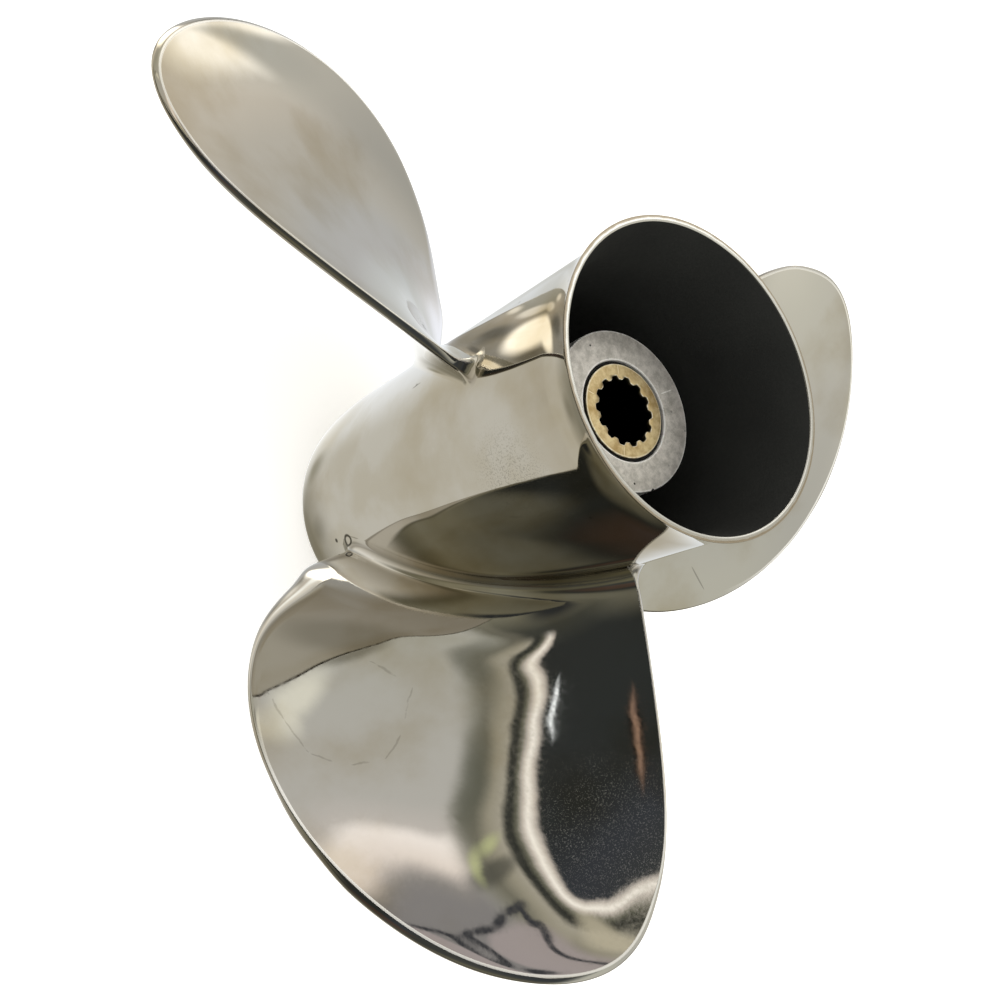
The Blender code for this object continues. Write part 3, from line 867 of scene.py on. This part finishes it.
SLEEVE_FRONT = 0.006
SLEEVE_EDGE = 0.00018
SPLINE_COUNT = 14
SPLINE_ROOT_RADIUS = 0.0090
SPLINE_CREST_RADIUS = 0.0080
SPLINE_PHASE = 5.1
# How far each place across one spline and its groove reaches from the crest to the root radius
SPLINE_SHAPE = (0, 0, 0, 0.15, 0.62, 0.92, 1, 1, 1, 1, 1, 0.92, 0.62, 0.15, 0, 0)
FACE_LOOP_RADIUS = 0.0094

steps = SPLINE_COUNT * len(SPLINE_SHAPE)
bpy.ops.object.select_all(action="DESELECT")
bpy.ops.mesh.primitive_circle_add(vertices=steps, radius=SLEEVE_RADIUS, location=(0, 0, SLEEVE_FRONT))
sleeve = bpy.context.active_object
sleeve.name = "brass_sleeve"
bpy.ops.object.transform_apply(location=True, rotation=True, scale=True)
bpy.ops.object.mode_set(mode="EDIT")
bpy.ops.mesh.select_all(action="SELECT")
rise = {"value": (0, 0, HUB_FACE - SLEEVE_FRONT)}
bpy.ops.mesh.extrude_region_move(TRANSFORM_OT_translate=rise)
bpy.ops.mesh.extrude_region_move(TRANSFORM_OT_translate={"value": (0, 0, 0)})
narrow = FACE_LOOP_RADIUS / SLEEVE_RADIUS
bpy.ops.transform.resize(value=(narrow, narrow, 1), center_override=(0, 0, HUB_FACE))
bpy.ops.mesh.extrude_region_move(TRANSFORM_OT_translate={"value": (0, 0, 0)})
narrow = SPLINE_CREST_RADIUS / FACE_LOOP_RADIUS
bpy.ops.transform.resize(value=(narrow, narrow, 1), center_override=(0, 0, HUB_FACE))
bpy.ops.object.mode_set(mode="OBJECT")
for vertex in sleeve.data.vertices:
    if math.hypot(vertex.co.x, vertex.co.y) < (SPLINE_CREST_RADIUS + FACE_LOOP_RADIUS) / 2:
        place = round(math.atan2(vertex.co.y, vertex.co.x) / math.tau * steps) % len(SPLINE_SHAPE)
        radius = SPLINE_CREST_RADIUS + (SPLINE_ROOT_RADIUS - SPLINE_CREST_RADIUS) * SPLINE_SHAPE[place]
        grow = radius / math.hypot(vertex.co.x, vertex.co.y)
        vertex.co = (vertex.co.x * grow, vertex.co.y * grow, vertex.co.z)
bpy.ops.object.mode_set(mode="EDIT")
fall = {"value": (0, 0, SLEEVE_FRONT - HUB_FACE)}
bpy.ops.mesh.extrude_region_move(TRANSFORM_OT_translate=fall)
bpy.ops.mesh.select_all(action="DESELECT")
bpy.ops.mesh.select_non_manifold(extend=False, use_wire=False, use_multi_face=False)
bpy.ops.mesh.bridge_edge_loops()
bpy.ops.mesh.select_all(action="SELECT")
bpy.ops.mesh.normals_make_consistent(inside=False)
bpy.ops.object.mode_set(mode="OBJECT")
middle_groove = (SPLINE_SHAPE.index(1) + 2) * 360 / steps
turn = math.radians(SPLINE_PHASE - middle_groove)
sleeve.data.transform(Matrix.Rotation(turn, 4, "Z"))
rounding = sleeve.modifiers.new("eased_edges", "BEVEL")
rounding.width = SLEEVE_EDGE
rounding.segments = 2
rounding.limit_method = "ANGLE"
rounding.angle_limit = math.radians(60)
bpy.ops.object.modifier_apply(modifier=rounding.name)
bpy.ops.object.shade_smooth_by_angle(angle=math.radians(35))
flat_faces = sleeve.modifiers.new("flat_faces", "WEIGHTED_NORMAL")
flat_faces.keep_sharp = True
bpy.ops.object.modifier_apply(modifier=flat_faces.name)
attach(sleeve, "root")
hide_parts("spline_sleeve")


# Light radial marks on the brass face: both ends in mm
BRASS_MARKS = (
    ((6.3, 6.8, 106.5), (8.1, 8.7, 106.5)),
    ((-7.6, -5.3, 106.5), (-9.7, -6.8, 106.5)),
    ((-4.2, 8.8, 106.5), (-5.0, 10.6, 106.5)),
)
# Between which depths in the bore the brass is painted dark as shade, and how near its edge it
# carries a painted highlight
SHADE_DEPTHS = (0.0016, 0.0003)
BRIGHT_BAND = (0.0005, 0.0002)


def turned_brass():
    """Free-cutting brass faced on a lathe: yellow satin with fine rings, dull stains and light radial
    marks, a painted highlight along its outer edge, and painted shade deeper in its bore.
    """
    material, shader, place = start_material("turned_brass")
    cut = node("TexWave", place, 900.0, 3.0, 3.0, output="Fac", settings=RINGS)
    stain = node("MapRange SMOOTHSTEP", node("TexNoise", place, 220.0, 6, 0.7), 0.3, 0.7)
    tint = node("Mix RGBA", stain, "#F0DDAE", "#B89A66")
    # Painted highlight along the sleeve's outer edge, joined by the real light radial marks
    edge = [SLEEVE_RADIUS - width for width in BRIGHT_BAND]
    bright = node("MapRange SMOOTHSTEP", from_axis(place), *edge)
    for start, end in BRASS_MARKS:
        bright = node("Math MAXIMUM", bright, scratch(place, start, end, 0.35))
    tint = node("Mix RGBA", node("Math MULTIPLY", bright, 0.8), tint, "#FFF3D2")
    # Painted shade: the brass is painted near black deeper than these depths in the bore
    heights = [HUB_FACE - depth for depth in SHADE_DEPTHS]
    unshaded = node("MapRange SMOOTHSTEP", node("SeparateXYZ", place, output="Z"), *heights)
    plug(
        shader,
        Base_Color=node("Mix RGBA", unshaded, "#1E1810", tint),
        Metallic=1.0,
        Roughness=node("MapRange LINEAR", cut, 0.0, 1.0, 0.30, 0.46),
        Normal=node("Bump", Height=cut, Distance=0.00001, Strength=0.4),
    )
    return material


def bright_brass():
    """The eased edges of the splines and the rim, painted paler and less metallic as a highlight."""
    material, shader, place = start_material("brass_edge_painted_highlight")
    rubbed = node("TexNoise", place, 900.0, 4)
    share = node("MapRange SMOOTHSTEP", rubbed, 0.35, 0.6)
    plug(
        shader,
        Base_Color=node("Mix RGBA", share, "#CDB98C", "#FFF6DC"),
        Metallic=0.5,
        Roughness=node("MapRange LINEAR", rubbed, 0.0, 1.0, 0.35, 0.5),
        Normal=node("Bump", Height=rubbed, Distance=0.00001, Strength=0.4),
    )
    return material


# The slot of the painted edge highlight: the faces near the end that don't lie level
BRIGHT_SLOT = 1
LEVEL = 0.95

sleeve.data.materials.append(turned_brass())
sleeve.data.materials.append(bright_brass())
for face in sleeve.data.polygons:
    if face.center.z > HUB_FACE - SLEEVE_EDGE and face.normal.z < LEVEL:
        face.material_index = BRIGHT_SLOT


# Camera: it looks down into the exhaust end from aft and to one side, as the photographer did.
# Its place, turns, lens and shift were fitted to the outline of the propeller in the photograph,
# and it is no part of the object.

CAMERA_PLACE = (-0.20657, 0.07989, 0.32164)
CAMERA_AZIMUTH = -116.628
CAMERA_ELEVATION = 50.855
CAMERA_ROLL = 69.260
CAMERA_LENS = 45.327
CAMERA_SHIFT = (-0.02017, 0.04338)
SENSOR_WIDTH = 36
NEAR_CLIP = 0.01

camera_data = bpy.data.cameras.new("camera")
camera = bpy.data.objects.new("camera", camera_data)
bpy.context.scene.collection.objects.link(camera)
aim = Matrix.Rotation(math.radians(CAMERA_AZIMUTH), 4, "Z")
tilt = Matrix.Rotation(math.radians(90 - CAMERA_ELEVATION), 4, "X")
roll = Matrix.Rotation(math.radians(CAMERA_ROLL), 4, "Z")
camera.matrix_world = Matrix.Translation(CAMERA_PLACE) @ aim @ tilt @ roll
camera_data.sensor_width = SENSOR_WIDTH
camera_data.lens = CAMERA_LENS
camera_data.shift_x, camera_data.shift_y = CAMERA_SHIFT
camera_data.clip_start = NEAR_CLIP
bpy.context.scene.camera = camera


# Studio: a floor of pale paper inside a tent of white cloth, with a bright window and the dark gap
# where the operator stands. The tent is one large sphere whose light is painted by direction, so
# that the polished steel mirrors a room like the one in the photograph. It is no part of the object.

FLOOR_RADIUS = 5.8
TENT_RADIUS = 6.0
# The paper glows faintly: painted light that lifts the propeller's shadows off it
PAPER_GLOW = 0.5
# Where the paper's painted fall-off of light starts and where it is fully grey, in metres from the
# propeller
PAPER_RADII = (0.35, 1.3)

bpy.ops.object.select_all(action="DESELECT")
bpy.ops.mesh.primitive_circle_add(vertices=96, radius=FLOOR_RADIUS, fill_type="NGON")
floor = bpy.context.active_object
floor.name = "pale_floor"


def pale_paper():
    """Matte white background paper, painted a little greyer away from the propeller as a fall-off of
    light, and glowing faintly as painted light that lifts the shadows on it.
    """
    material, shader, place = start_material("pale_paper")
    away = node("MapRange SMOOTHSTEP", node("VectorMath LENGTH", place), *PAPER_RADII)
    tint = node("Mix RGBA", away, "#F4F3F0", "#D8D4CB")
    plug(shader, Base_Color=tint, Emission_Color=tint, Emission_Strength=PAPER_GLOW, Roughness=0.9)
    return material


floor.data.materials.append(pale_paper())

bpy.ops.object.select_all(action="DESELECT")
bpy.ops.mesh.primitive_uv_sphere_add(segments=64, ring_count=32, radius=TENT_RADIUS)
tent = bpy.context.active_object
tent.name = "light_tent"
tent.visible_camera = False
tent.visible_diffuse = False
tent.visible_shadow = False


def add_ramp(value, stops):
    """Colours along a value, from stops given as the value and a hex colour."""
    low, high = stops[0][0], stops[-1][0]
    ramp = node("ValToRGB", node("MapRange LINEAR", value, low, high))
    elements = ramp.node.color_ramp.elements
    elements[0].color = colour(stops[0][1])
    elements[1].color = colour(stops[-1][1])
    for place, code in stops[1:-1]:
        elements.new((place - low) / (high - low)).color = colour(code)
    return ramp


def add_curve(value, points):
    """A smooth curve through points in degrees, from 0 to 180 across and -90 to 90 up."""
    curve = node("FloatCurve", Value=node("Math DIVIDE", value, 180.0))
    line = curve.node.mapping.curves[0]
    placed = [(across / 180, (up + 90) / 180) for across, up in points]
    line.points[0].location = placed[0]
    line.points[1].location = placed[-1]
    for place in placed[1:-1]:
        line.points.new(*place)
    curve.node.mapping.update()
    return node("Math SUBTRACT", node("Math MULTIPLY", curve, 180.0), 90.0)


def patch(across, up, centre, size, tilt, soft):
    """1 inside a tilted oval in degrees, 0 outside, with a soft border."""
    c, s = math.cos(math.radians(tilt)), math.sin(math.radians(tilt))
    x = node("Math SUBTRACT", across, centre[0])
    y = node("Math SUBTRACT", up, centre[1])
    squares = []
    for by_x, by_y in ((c / size[0], s / size[0]), (-s / size[1], c / size[1])):
        way = node("Math ADD", node("Math MULTIPLY", x, by_x), node("Math MULTIPLY", y, by_y))
        squares.append(node("Math MULTIPLY", way, way))
    reach = node("Math SQRT", node("Math ADD", *squares))
    return node("MapRange SMOOTHSTEP", reach, 1 + soft, 1 - soft)


def paint(light, across, up, marks):
    """Lays soft ovals of colour over the light, one after the other."""
    for centre, size, tilt, soft, strength, code in marks:
        share = node("Math MULTIPLY", patch(across, up, centre, size, tilt, soft), strength)
        light = node("Mix RGBA", share, light, code)
    return light


def fold_marks(line):
    """One dark fold of the cloth as ovals from point to point."""
    marks = []
    for start, end in zip(line, line[1:]):
        centre = ((start[0] + end[0]) / 2, (start[1] + end[1]) / 2)
        tilt = math.degrees(math.atan2(end[1] - start[1], end[0] - start[0]))
        size = (math.dist(start, end) / 2 + FOLD_WIDTH * 0.6, FOLD_WIDTH)
        marks.append((centre, size, tilt, 0.4, 1.0, "#35363A"))
    return marks


# Directions are in degrees, seen from this height in metres on the shaft axis: heading round Z and
# height over the floor, and for the front, which the lowest blade mirrors, side along X and roll
# round X. Colours of the wall towards +X and of the camera's side, by height:
TENT_HEIGHT = 0.066
LIT_SIDE = (
    (-90, "#ABA9A3"), (-60, "#D8D9D8"), (-50, "#C8CBCE"), (-40, "#B4B7B8"), (-32, "#A8ABAC"),
    (-25, "#9F9F9F"), (-18, "#A0A09F"), (-12, "#A5A39E"), (-4, "#ABA79F"), (2, "#B8B2A8"),
    (9, "#D9D4CA"), (16, "#C8C5BC"), (28, "#AFAEA9"), (90, "#ABABA6"),
)
CAMERA_SIDE = (
    (-90, "#77756B"), (-78, "#7E7C72"), (-70, "#97958D"), (-62, "#B2B0A9"), (-50, "#B2B0A9"),
    (-38, "#A3A09A"), (-25, "#8E8A82"), (-17, "#6A675F"), (-12, "#3D3D39"), (0, "#3A3A36"),
    (12, "#62604F"), (20, "#56544A"), (28, "#454540"), (40, "#35383A"), (75, "#2F3235"),
    (90, "#3B3C3B"),
)
# By heading: light that comes in low between the gap and the floor, and the wall on the right
LOW_LIGHT = (
    (30, "#E9E9E4"), (60, "#E4E5E2"), (90, "#C5C2BB"), (120, "#A19D94"), (140, "#817D72"),
    (160, "#5A5951"), (180, "#48473F"),
)
FAR_WALL = (
    (-180, "#B4B4AE"), (-140, "#AAAAA2"), (-110, "#AAAAA2"), (-90, "#A4A49F"), (-70, "#ADACA6"),
    (-55, "#B8B7AE"), (-42, "#C6C4BA"), (-25, "#B4B4AE"), (180, "#B4B4AE"),
)
# The side at which the front's dark gap ends, by roll
BORDER = (
    (0, 14), (15, 12), (22, 8), (26, 2), (30, -4.5), (34, -5), (40, -6), (45, -6.5), (50, -5),
    (55, -2.4), (60, 0.4), (65, 1.9), (70, 2.8), (72.5, 4.3), (74, 5.4), (75.2, 4.2), (76.4, 1.8),
    (77.4, -0.6), (79, -4), (82, -8), (90, -14), (120, -25), (150, -45), (180, -60),
)
# Colours of the cloth's folds, by degrees past that border, and of the wall and the gap, by roll
FOLDS = (
    (-2.0, "#BBB4AD"), (-1.0, "#BBB4AD"), (0.0, "#ECE8E1"), (0.8, "#BBB4AD"), (1.7, "#626256"),
    (2.6, "#2C2D2A"), (3.4, "#363733"), (4.4, "#9A968A"), (6.0, "#8E8A7C"), (8.5, "#6C6A5F"),
    (11.0, "#7C7B71"), (14.5, "#9A9A94"), (18.0, "#A6A6A2"),
)
WALL = (
    (0, "#A8A7A1"), (22, "#A5A4A0"), (28, "#9B9B93"), (36, "#A3A39E"), (58, "#A9A8A5"),
    (62, "#B4B0AD"), (63.6, "#E6E0DD"), (66.6, "#DAD1CB"), (68.6, "#84817F"), (70, "#7B797A"),
    (77, "#7B797A"), (82, "#9D9893"), (88, "#B8B6B0"), (100, "#B4B4AE"), (180, "#B4B4AE"),
)
DARK = (
    (0, "#45443E"), (14, "#7C7A6C"), (20, "#706E60"), (28, "#3B3C37"), (36, "#2A2C2B"),
    (66, "#292C2C"), (74, "#32353A"), (84, "#363837"), (180, "#3E3E3C"),
)
# How many degrees the creases sway the front's border, and how much less they do near the top
CREASE_SWAY, CREASE_CALM = 1.5, 1.2
# Marks: centre and half size in degrees, tilt, softness, strength and colour. These are in the
# front, by side and roll, with two dark folds from point to point:
FRONT_MARKS = (
    ((8.0, 56.0), (2.2, 8.0), -28, 0.7, 0.75, "#53554C"),
    ((5.5, 35.0), (2.2, 8.0), 38, 0.7, 0.70, "#5A5A50"),
    ((27.0, 35.0), (2.0, 7.0), -60, 0.4, 0.75, "#66645A"),
    ((37.5, 46.0), (2.2, 9.0), -48, 0.6, 0.80, "#D3D2C7"),
    ((19.0, 76.3), (7.8, 3.7), 12, 0.15, 0.9, "#989091"),
    ((8.0, 75.8), (2.4, 1.2), 20, 0.5, 0.8, "#B0AA97"),
    ((10.5, 68.2), (4.6, 1.0), 4, 0.6, 0.8, "#4A4A44"),
    ((8.8, 65.0), (1.9, 0.8), 20, 0.9, 0.7, "#B3B98A"),
    ((12.6, 66.8), (1.9, 0.8), 50, 0.9, 0.7, "#B3B98A"),
    ((-16.8, 63.0), (1.1, 7.6), -25, 0.3, 0.9, "#1F1D1B"),
    ((-16.8, 63.0), (0.45, 7.0), -25, 0.5, 0.9, "#987D6E"),
    ((-8.3, 49.5), (0.36, 5.0), -21, 0.35, 1.0, "#F4FAFF"),
)
FOLD_LINES = (
    ((11.1, 71.4), (16.0, 71.3), (18.9, 72.1), (26.9, 73.5), (28.5, 74.0), (25.3, 75.3)),
    ((12.4, 71.7), (13.6, 72.7), (12.1, 73.2), (13.3, 74.3), (14.2, 76.4), (12.2, 78.4)),
)
FOLD_WIDTH = 0.42
# These are in the whole room, by heading and height:
ROOM_MARKS = (
    ((-21.0, 2.0), (12.0, 11.0), 0, 1.0, 1.0, "#979691"),
    ((-28.0, -28.0), (12.0, 12.0), 0, 0.7, 0.9, "#DEE1EB"),
    ((-2.0, 9.5), (5.5, 3.0), -25, 0.6, 1.0, "#FFFBF2"),
    ((20.0, -9.0), (8.0, 7.0), 0, 0.6, 1.0, "#7C7C7A"),
    ((58.0, -65.0), (12.0, 3.5), 0, 0.8, 0.9, "#89877B"),
    ((131.0, -71.0), (14.0, 4.0), 0, 0.8, 0.6, "#77756B"),
    ((126.0, -41.0), (14.0, 5.5), 0, 0.5, 0.5, "#77756B"),
    ((47.5, 4.5), (5.0, 2.4), 0, 0.6, 0.9, "#F4F6F2"),
    ((5.0, -38.0), (8.0, 9.0), 0, 0.6, 0.8, "#A5A5A0"),
    ((-9.0, 43.0), (9.0, 11.0), 0, 0.3, 1.0, "#FFFEFA"),
    ((-34.0, 40.0), (10.0, 12.0), 0, 0.6, 0.8, "#8A867C"),
    ((-50.0, 60.0), (12.0, 5.0), 0, 0.5, 1.0, "#FFFEFA"),
    ((15.0, 10.0), (6.0, 5.5), 0, 0.4, 1.0, "#FFFBF2"),
    ((172.0, 22.0), (14.0, 9.0), 0, 0.6, 0.6, "#4F3D33"),
    ((130.0, 24.0), (17.0, 8.0), 0, 0.6, 0.8, "#68675C"),
    ((97.0, 21.0), (9.0, 4.5), 0, 0.5, 1.0, "#2B2D2F"),
    ((55.0, -9.0), (4.0, 5.0), 0, 0.6, 0.8, "#75736A"),
)
# The window is far brighter than the cloth, and still white after a second reflection
WINDOW_PLACE, WINDOW_SIZE, WINDOW_TILT = (38.0, -1.0), (15.0, 9.0), -45
WINDOW_EXTRA = 1.2
TENT_STRENGTH = 1.7


def tent_light():
    """The light in the tent, painted by direction: white cloth and paper round the propeller, and
    the dark gap where the operator stands, with its folded and creased borders."""
    material, shader, place = start_material("tent_light")
    tree = material.node_tree
    tree.nodes.remove(shader)
    centred = node("Mapping", place, Location=(0, 0, -TENT_HEIGHT))
    toward = node("VectorMath NORMALIZE", centred)
    x, y, z = (node("SeparateXYZ", toward, output=name) for name in "XYZ")
    turns = (
        node("Math ARCSINE", z),
        node("Math ARCTAN2", y, x),
        node("Math ARCSINE", x),
        node("Math ARCTAN2", z, y),
    )
    height, heading, side, roll = (node("Math MULTIPLY", turn, 180 / math.pi) for turn in turns)
    crease = node("Math SUBTRACT", node("TexNoise", toward, 11.0, 1.6, 0.6), 0.5)
    calm = node("Math MULTIPLY", node("MapRange SMOOTHSTEP", roll, 68, 75), CREASE_CALM)
    crease = node("Math MULTIPLY", crease, node("Math SUBTRACT", CREASE_SWAY, calm))
    side = node("Math ADD", side, crease)

    def within(*limits):
        """1 where every value lies past its two limits, 0 where one doesn't reach them."""
        shares = [node("MapRange SMOOTHSTEP", *limit) for limit in limits]
        both = shares[0]
        for share in shares[1:]:
            both = node("Math MULTIPLY", both, share)
        return both

    camera_side = add_ramp(height, CAMERA_SIDE)
    low = within((height, 10, 3), (height, -30, -18), (heading, 35, 60))
    camera_side = node("Mix RGBA", low, camera_side, add_ramp(heading, LOW_LIGHT))
    light = node("Mix RGBA", within((x, 0.10, 0.55)), camera_side, add_ramp(height, LIT_SIDE))
    far_side = node("Mix RGBA", within((height, 0, 18)), camera_side, add_ramp(heading, FAR_WALL))
    right = node("Math SUBTRACT", y, node("Math MULTIPLY", x, 0.9))
    light = node("Mix RGBA", within((right, 0.0, -0.25), (height, 2, 16)), light, far_side)

    past = node("Math SUBTRACT", side, add_curve(roll, BORDER))
    dark = add_ramp(roll, DARK)
    front = node("Mix RGBA", within((past, 9, 15)), add_ramp(past, FOLDS), add_ramp(roll, WALL))
    front = node("Mix RGBA", within((past, -2.0, -0.9)), dark, front)
    front = node("Mix RGBA", within((roll, 33, 29), (past, 12, 4)), front, dark)
    front = paint(front, side, roll, FRONT_MARKS)
    for line in FOLD_LINES:
        front = paint(front, side, roll, fold_marks(line))
    in_front = within((height, 6, 14), (y, -0.30, -0.10), (side, 62, 48))
    light = node("Mix RGBA", in_front, light, front)
    light = paint(light, heading, height, ROOM_MARKS)

    window = patch(heading, height, WINDOW_PLACE, WINDOW_SIZE, WINDOW_TILT, 0.3)
    light = node("Mix RGBA", window, light, "#FFFBF2")
    strength = node("Math ADD", node("Math MULTIPLY", window, WINDOW_EXTRA), TENT_STRENGTH)
    plug(tree.nodes["Material Output"], Surface=node("Emission", light, strength))
    return material


tent.data.materials.append(tent_light())
tent.active_material.cycles.emission_sampling = "NONE"
floor.visible_glossy = False

# Soft light of the air in the room, which the steel doesn't mirror
AIR_COLOUR = "#F2F1EE"
AIR_STRENGTH = 1.45

world = bpy.data.worlds.new("studio_air")
bpy.context.scene.world = world
world.use_nodes = True
plug(world.node_tree.nodes["Background"], Color=AIR_COLOUR, Strength=AIR_STRENGTH)
world.cycles_visibility.glossy = False
bpy.context.scene.view_settings.view_transform = "Standard"
